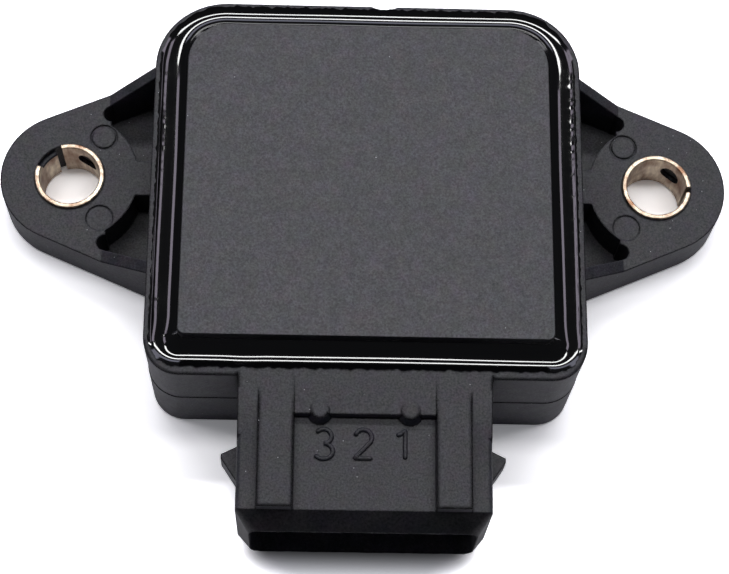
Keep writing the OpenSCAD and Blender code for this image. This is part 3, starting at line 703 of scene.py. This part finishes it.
def sleeveSurface(name, centreX, splitAngle, lockAngle, dent, seed):
    # A wall profile carried round from one side of the split to the other. The profile runs up
    # the inside, over a rounded, burred lip, down the outside and across the bottom
    halfGap = math.asin(sleeve["split"] / 2 / sleeve["outer"])
    angle = math.radians(splitAngle) + np.linspace(halfGap, 2 * math.pi - halfGap, sleeve["columns"])
    inner, outer, height = sleeve["outer"] - sleeve["wall"], sleeve["outer"], sleeve["height"]
    # the lip is half an oval, flatter than round, and the bottom has small chamfers
    lip = np.radians(np.linspace(180, 0, 17))
    lipRadius, lipRise, chamfer = sleeve["wall"] / 2, sleeve["wall"] / 4, sleeve["chamfer"]
    lipR = (inner + outer) / 2 + lipRadius * np.sign(np.cos(lip)) * np.abs(np.cos(lip)) ** 0.7
    lipZ = height - lipRise + lipRise * np.sin(lip)
    upInside = np.linspace(chamfer, lipZ[0], 70)[:-1]
    downOutside = np.linspace(lipZ[-1], chamfer, 12)[1:]
    wallInside, wallOutside = np.full(len(upInside), inner), np.full(len(downOutside), outer)
    radius = np.concatenate([wallInside, lipR, wallOutside, [outer - chamfer, inner + chamfer]])
    level = np.concatenate([upInside, lipZ, downOutside, [0.0, 0.0]])
    r = np.broadcast_to(radius, (len(angle), len(radius))).copy()
    z = np.broadcast_to(level, r.shape).copy()

    # burrs and hammer marks on the lip, most on its outer side
    around = (angle - angle[0])[:, None] / (2 * math.pi)
    onLip = smoothStep(z, height - 0.35, height - 0.1)
    outwardMarks = waves(around, seed, (37, 71, 97, 131, 173), (0.4, 0.6, 0.8, 0.8, 0.6))
    upwardMarks = waves(around, seed + 1, (43, 89, 113, 151), (0.4, 0.6, 0.8, 0.6))
    outside = smoothStep(r, inner + 0.1, outer)
    r = r + sleeve["burr"] * onLip * outside * outwardMarks
    z = z + sleeve["burr"] * onLip * (0.4 + outside) * upwardMarks * 0.8
    beaten = np.zeros_like(z)
    if dent:
        fromX = np.degrees(angle)[:, None] % 360
        pastDent = smoothStep(fromX, dent[1] - 6, dent[1] + 4)
        beaten = beaten + smoothStep(fromX, dent[0] - 4, dent[0] + 2) * (1 - pastDent)
        beaten *= smoothStep(z, height - 1.2, height - 0.2)
        z = z - sleeve["beaten"] * beaten

    # the locking hole shows as a deep round recess in the inside wall
    turned = (angle[:, None] - math.radians(lockAngle) + math.pi) % (2 * math.pi) - math.pi
    distance = np.hypot(turned * inner, z - sleeve["lockHeight"])
    inLock = 1 - smoothStep(distance, sleeve["lockRadius"] - 0.06, sleeve["lockRadius"] + 0.04)
    recess = inLock * (r < inner + 0.01)
    r = r + sleeve["lockDepth"] * recess
    points = np.stack([centreX + r * np.cos(angle[:, None]), r * np.sin(angle[:, None]), z], axis=2)
    piece = gridPiece(name, points, closeAlong=False)
    piece.data.materials.append(sleeveSteel)
    piece.data.materials.append(housingPbt)
    # the housing's plastic finish goes on the faces in the locking hole and on the lip where it is beaten
    # deepest, which makes that part darker
    plasticFaces = np.maximum(recess, beaten - 0.53) > 0.02
    plasticFaces = plasticFaces | np.roll(plasticFaces, -1, axis=1)
    plastic = (plasticFaces[:-1] | plasticFaces[1:]).ravel().astype(np.int32)
    piece.data.polygons.foreach_set("material_index", plastic)
    closeEnds(piece)
    piece.data.set_sharp_from_angle(angle=math.radians(60))
    return piece


for side in ("left", "right"):
    rolled = sleeveSurface(f"bushing_{side}_rolled", **sleeve[side])
    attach(rolled, "base")
    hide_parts(f"bushing_{side}")
print("potting and sleeves made")


# Raised pin numbers on the header: the left side of each, and the front of all
numerals = {
    "height": 2.95, "stroke": 0.44, "rise": 0.28, "sunk": 0.05, "front": -31.97,
    "left": {"numeral_3": -4.75, "numeral_2": -1.05, "numeral_1": 2.9},
}


def strokePiece(name, path):
    # A low rounded ridge: a half-round profile carried along the stroke's path, fading at both ends
    steps = np.linalg.norm(np.diff(path, axis=0), axis=1)
    length = np.concatenate([[0], np.cumsum(steps)])
    along = np.linspace(0, length[-1], max(24, int(length[-1] / 0.08)))
    line = np.stack([np.interp(along, length, path[:, 0]), np.interp(along, length, path[:, 1])], axis=1)
    tangent = np.gradient(line, along, axis=0)
    tangent /= np.linalg.norm(tangent, axis=1)[:, None]
    normal = np.stack([-tangent[:, 1], tangent[:, 0]], axis=1)
    turn = np.radians(np.linspace(0, 180, 9))
    half = numerals["stroke"] / 2
    toEnd = np.minimum(along, along[-1] - along)
    endFade = np.sqrt(np.clip(1 - (1 - toEnd / half) ** 2, 0.02, 1))
    endFade = np.where(toEnd >= half, 1.0, endFade)[:, None]
    offset = half * np.cos(turn)[None, :] * endFade
    rise = numerals["rise"] * np.sin(turn)[None, :] ** 0.6 * endFade - 0.02
    points = np.empty((len(line), len(turn), 3))
    points[..., :2] = line[:, None, :] + normal[:, None, :] * offset[..., None]
    points[..., 0] += numerals["left"][name]
    points[..., 1] += numerals["front"]
    points[..., 2] = body["shellTop"] + rise
    base = points[:, [-1, 0]].copy()
    base[..., 2] = body["shellTop"] - numerals["sunk"]
    piece = gridPiece(name, np.concatenate([points, base], axis=1), closeAlong=False)
    closeEnds(piece)
    return piece


tall = numerals["height"]
strokes = {
    "numeral_3": np.concatenate([
        arcPoints(0.93, tall * 0.74, 0.74, tall * 0.235, 155, -90),
        arcPoints(0.93, tall * 0.26, 0.88, tall * 0.25, 90, -155)]),
    "numeral_2": np.concatenate([
        arcPoints(0.92, tall * 0.71, 0.78, tall * 0.27, 170, -25), [[0.12, 0.14]], [[1.8, 0.14]]]),
    "numeral_1": np.array([[0.0, tall * 0.8], [0.45, tall * 0.86], [0.84, tall * 0.97], [0.84, 0.08]]),
}
for name, path in strokes.items():
    numeral = strokePiece(name, path)
    numeral.data.materials.append(housingPbt)
    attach(numeral, "base")


# Flash along the parting line, and the burr round the header's mouth
flash = {"out": 0.045, "halfHeight": 0.07, "inset": 0.03, "depth": 0.1}
mouth = {
    "halfWidth": 10.58, "back": 4.08, "front": 4.08, "backRadius": 1.25, "frontRadius": 1.25,
    "level": 9.45, "y": -38.5, "burr": 0.05,
}


def flashRidge():
    # A thin uneven ridge carried round the body's outline at the parting height
    outline = roundedOutline(body, flash["inset"], {"arc": 40, "side": 160})
    position = np.linspace(0, 1, len(outline), endpoint=False)
    outwards = outwardNormals(outline)
    out = flash["out"] * (0.7 + waves(position, 11, (13, 29, 61, 97), (0.25, 0.2, 0.2, 0.15)))
    wander = waves(position, 12, (2, 5, 9), (0.08, 0.05, 0.04))
    profileOut = np.array([-flash["depth"], 0.0, 1.0, 0.0])
    profileUp = np.array([0.0, 1.0, 0.2, -1.0]) * flash["halfHeight"]
    points = np.empty((len(outline), 4, 3))
    reach = profileOut[None, :] * np.where(profileOut > 0, out[:, None], 1.0)
    points[..., :2] = outline[:, None, :] + outwards[:, None, :] * reach[..., None]
    points[..., 2] = body["partingHeight"] + wander[:, None] + profileUp[None, :]
    piece = gridPiece("parting_flash", points)
    turnOutwards(piece)
    return piece


def mouthBurr():
    # A fine uneven ridge where the tool shut off: a small circle carried round the header's mouth
    outline = roundedOutline(mouth, 0.0, {"arc": 16, "side": 90})
    position = np.linspace(0, 1, len(outline), endpoint=False)
    outwards = outwardNormals(outline)
    radius = mouth["burr"] * (1 + waves(position, 31, (17, 29, 53, 83), (0.2, 0.15, 0.15, 0.1)))
    turn = np.radians(np.arange(0, 360, 45))
    ring = outline[:, None, :] + outwards[:, None, :] * (radius[:, None] * np.cos(turn)[None, :])[..., None]
    along = mouth["y"] - radius[:, None] * np.sin(turn)[None, :]
    points = np.stack([ring[..., 0], along, mouth["level"] + ring[..., 1]], axis=2)
    piece = gridPiece("mouth_burr", points)
    turnOutwards(piece)
    return piece


for ridge in (flashRidge(), mouthBurr()):
    ridge.data.materials.append(housingPbt)
    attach(ridge, "base")
print("numbers and flash made")

# Finishes of the CAD nodes that keep their shape
nodeFinish = {
    "o_ring": nitrileRubber, "shaft_seal": nitrileRubber,
    "thrust_washer": naturalNylon, "rotor": naturalNylon,
    "wiper_carrier": brownPhenolic, "wiper": wiperAlloy, "preload_spring": springSteel,
    "resistor_board": alumina,
    "resistor_track": carbonInk, "collector_track": carbonInk, "conductors": silverInk,
    "terminal_1": tinnedBrass, "terminal_2": tinnedBrass, "terminal_3": tinnedBrass,
    "solder_joint_1": solderTin, "solder_joint_2": solderTin, "solder_joint_3": solderTin,
}
for node, finish in nodeFinish.items():
    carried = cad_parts[node]
    if carried.material_slots:
        for slot in carried.material_slots:
            slot.material = finish
    else:
        carried.data.materials.append(finish)

# Floor: white paper under the O-ring, which stands out of the mounting face
paperLook = {
    "half": 500.0, "level": -0.41,
    "colour": "#f2f1f5", "tint": (1.0, 0.994, 1.012),
    "exposure": 1.65,      # how much brighter the camera sees it
    "glow": 0.05,          # light of its own, per exposure
    # a shadow painted under the header: the exposure grows from the painted shadow's middle to its edge
    "paintedShadowMiddle": 0.15, "paintedShadowEdge": 7.0,
    "sideEdge": (9.0, 13.4), "frontEdge": (-36.8, -40.3), "headerStart": (-35, -30),
    "span": 4.0, "power": 2.0,
}


def whitePaper(look):
    # Plain white paper, matte. The camera sees it overexposed, as in the photo, so that only the close
    # shadows stay; every other ray meets its own colour
    made, tree = newMaterial("whitePaper")
    ray = addNode(tree, "ShaderNodeLightPath").outputs["Is Camera Ray"]
    coordinates = addNode(tree, "ShaderNodeTexCoord").outputs["Object"]
    place = addNode(tree, "ShaderNodeSeparateXYZ", {"Vector": coordinates})
    # A painted shadow under the header: the camera's exposure is turned down near the header's footprint, by
    # place on the paper, not by light
    sideways = addNode(tree, "ShaderNodeMath", {0: place.outputs["X"]}, operation="ABSOLUTE")
    pastSide = addNode(tree, "ShaderNodeMapRange", {
        "Value": sideways.outputs[0], "To Max": look["span"],
        "From Min": look["sideEdge"][0] * mm, "From Max": look["sideEdge"][1] * mm})
    pastFront = addNode(tree, "ShaderNodeMapRange", {
        "Value": place.outputs["Y"], "To Max": look["span"],
        "From Min": look["frontEdge"][0] * mm, "From Max": look["frontEdge"][1] * mm})
    past = addNode(tree, "ShaderNodeCombineXYZ", {
        "X": pastSide.outputs["Result"], "Y": pastFront.outputs["Result"]})
    away = addNode(tree, "ShaderNodeVectorMath", {0: past.outputs["Vector"]}, operation="LENGTH")
    opened = addNode(tree, "ShaderNodeMath", {0: away.outputs["Value"], 1: look["power"]}, operation="POWER")
    paintedShadowExposure = addNode(tree, "ShaderNodeMapRange", {
        "Value": opened.outputs[0], "From Max": look["span"] ** look["power"],
        "To Min": look["paintedShadowMiddle"], "To Max": look["paintedShadowEdge"]})
    header = addNode(tree, "ShaderNodeMapRange", {
        "Value": place.outputs["Y"], "To Min": 1.0, "To Max": 0.0,
        "From Min": look["headerStart"][0] * mm, "From Max": look["headerStart"][1] * mm})
    exposure = addNode(tree, "ShaderNodeMix", {
        "Factor": header.outputs["Result"], "A": look["exposure"], "B": paintedShadowExposure.outputs["Result"]},
        data_type="FLOAT")
    exposed = addNode(tree, "ShaderNodeVectorMath", {
        0: look["tint"], "Scale": exposure.outputs["Result"]}, operation="SCALE")
    tone = addNode(tree, "ShaderNodeMix", {
        "Factor": ray, "A": linearColour(look["colour"]), "B": exposed.outputs["Vector"]},
        data_type="RGBA", clamp_result=False)
    glowLevel = addNode(tree, "ShaderNodeMath", {
        0: exposure.outputs["Result"], 1: look["glow"]}, operation="MULTIPLY")
    glow = addNode(tree, "ShaderNodeMath", {0: ray, 1: glowLevel.outputs[0]}, operation="MULTIPLY")
    surface = addNode(tree, "ShaderNodeBsdfPrincipled", {
        "Base Color": tone.outputs["Result"], "Roughness": 0.9, "Specular IOR Level": 0.0,
        "Emission Color": linearColour("#ffffff"), "Emission Strength": glow.outputs[0]})
    addNode(tree, "ShaderNodeOutputMaterial", {"Surface": surface.outputs["BSDF"]})
    return made


edge = paperLook["half"] * mm
corners = [(x * edge, y * edge, paperLook["level"] * mm) for x, y in ((-1, -1), (1, -1), (1, 1), (-1, 1))]
floorMesh = bpy.data.meshes.new("floor")
floorMesh.from_pydata(corners, [], [(0, 1, 2, 3)])
floorMesh.materials.append(whitePaper(paperLook))
floor = bpy.data.objects.new("floor", floorMesh)
bpy.context.collection.objects.link(floor)

# World: a white backdrop for the camera, and a weak even light for the rest, weaker in reflections
ambience = {"colour": "#e9ecf5", "strength": 0.14, "inReflections": 0.04}
world = bpy.data.worlds.new("studio")
scene.world = world
world.use_nodes = True
worldTree = world.node_tree
worldTree.nodes.clear()
worldPath = addNode(worldTree, "ShaderNodeLightPath")
ambientLevel = addNode(worldTree, "ShaderNodeMapRange", {
    "Value": worldPath.outputs["Is Glossy Ray"],
    "To Min": ambience["strength"], "To Max": ambience["inReflections"]})
ambient = addNode(worldTree, "ShaderNodeBackground", {
    "Color": linearColour(ambience["colour"]), "Strength": ambientLevel.outputs["Result"]})
backdrop = addNode(worldTree, "ShaderNodeBackground", {"Color": (1, 1, 1, 1), "Strength": 1.0})
worldMix = addNode(worldTree, "ShaderNodeMixShader", {
    0: worldPath.outputs["Is Camera Ray"], 1: ambient.outputs[0], 2: backdrop.outputs[0]})
addNode(worldTree, "ShaderNodeOutputWorld", {"Surface": worldMix.outputs[0]})

# Soft boxes, each given by where it stands as seen from the sensor: angle from straight up to the
# right and to the back, in degrees, then its width and depth in metres, and its radiance.
# The two tubes give the pair of white lines along the potting, the others its faint side lines
boxDistance = 0.9
softBoxes = {
    "tubeAbove": {"right": 1, "back": 4.6, "size": (1.04, 0.1), "radiance": 12, "colour": "#ffffff"},
    "tubeBehind": {"right": 1, "back": 32.7, "size": (1.04, 0.11), "radiance": 12, "colour": "#ffffff"},
    "leftWall": {"right": -39, "back": 21, "size": (0.22, 0.24), "radiance": 2.2, "colour": "#e6dcf0"},
    "rightWall": {"right": 40, "back": 21, "size": (0.22, 0.24), "radiance": 2.2, "colour": "#e6dcf0"},
    "frontFill": {"right": -30, "back": -79, "size": (1.0, 0.26), "radiance": 1.4, "colour": "#e8ebf5"},
    "backGlow": {"right": 0, "back": 54, "size": (1.2, 0.22), "radiance": 1.6, "colour": "#dfe0f5"},
}
for name, box in softBoxes.items():
    toRight, toBack = [math.tan(math.radians(box[key])) for key in ("right", "back")]
    direction = Vector((toRight, toBack, 1)).normalized()
    lamp = bpy.data.lights.new(name, "AREA")
    lamp.shape = "RECTANGLE"
    lamp.size, lamp.size_y = box["size"]
    lamp.color = linearColour(box["colour"])[:3]
    lamp.energy = box["radiance"] * math.pi * box["size"][0] * box["size"][1]
    holder = bpy.data.objects.new(name, lamp)
    # the box faces the sensor, its width level
    across = Vector((0, 1, 0)).cross(direction).normalized()
    facing = Matrix((across, direction.cross(across), direction)).transposed().to_4x4()
    holder.matrix_world = Matrix.Translation(direction * boxDistance) @ facing
    holder.visible_glossy = name != "frontFill"
    bpy.context.collection.objects.link(holder)

# Camera solved from the fixing holes, the body's edges and their perspective
view = {
    "elevation": 69.79, "yaw": -4.46, "roll": 5.24, "distance": 202.57,
    "target": (0.13, -11.38, 5.0), "focalLength": 99.76,
}
elevation, yaw, roll = [math.radians(view[key]) for key in ("elevation", "yaw", "roll")]
backwards = Vector((
    math.sin(yaw) * math.cos(elevation), -math.cos(yaw) * math.cos(elevation), math.sin(elevation)))
level = Vector((0, 0, 1)).cross(backwards).normalized()
upright = backwards.cross(level)
rightward = level * math.cos(roll) + upright * math.sin(roll)
upward = -level * math.sin(roll) + upright * math.cos(roll)
lens = bpy.data.cameras.new("camera")
lens.lens = view["focalLength"]
lens.sensor_width = 36.0
lens.sensor_fit = "HORIZONTAL"
lens.clip_start = 0.01
lens.clip_end = 20.0
eye = bpy.data.objects.new("camera", lens)
place = (Vector(view["target"]) + backwards * view["distance"]) * mm
eye.matrix_world = Matrix.Translation(place) @ Matrix((rightward, upward, backwards)).transposed().to_4x4()
bpy.context.collection.objects.link(eye)
scene.camera = eye
print("light and camera set")
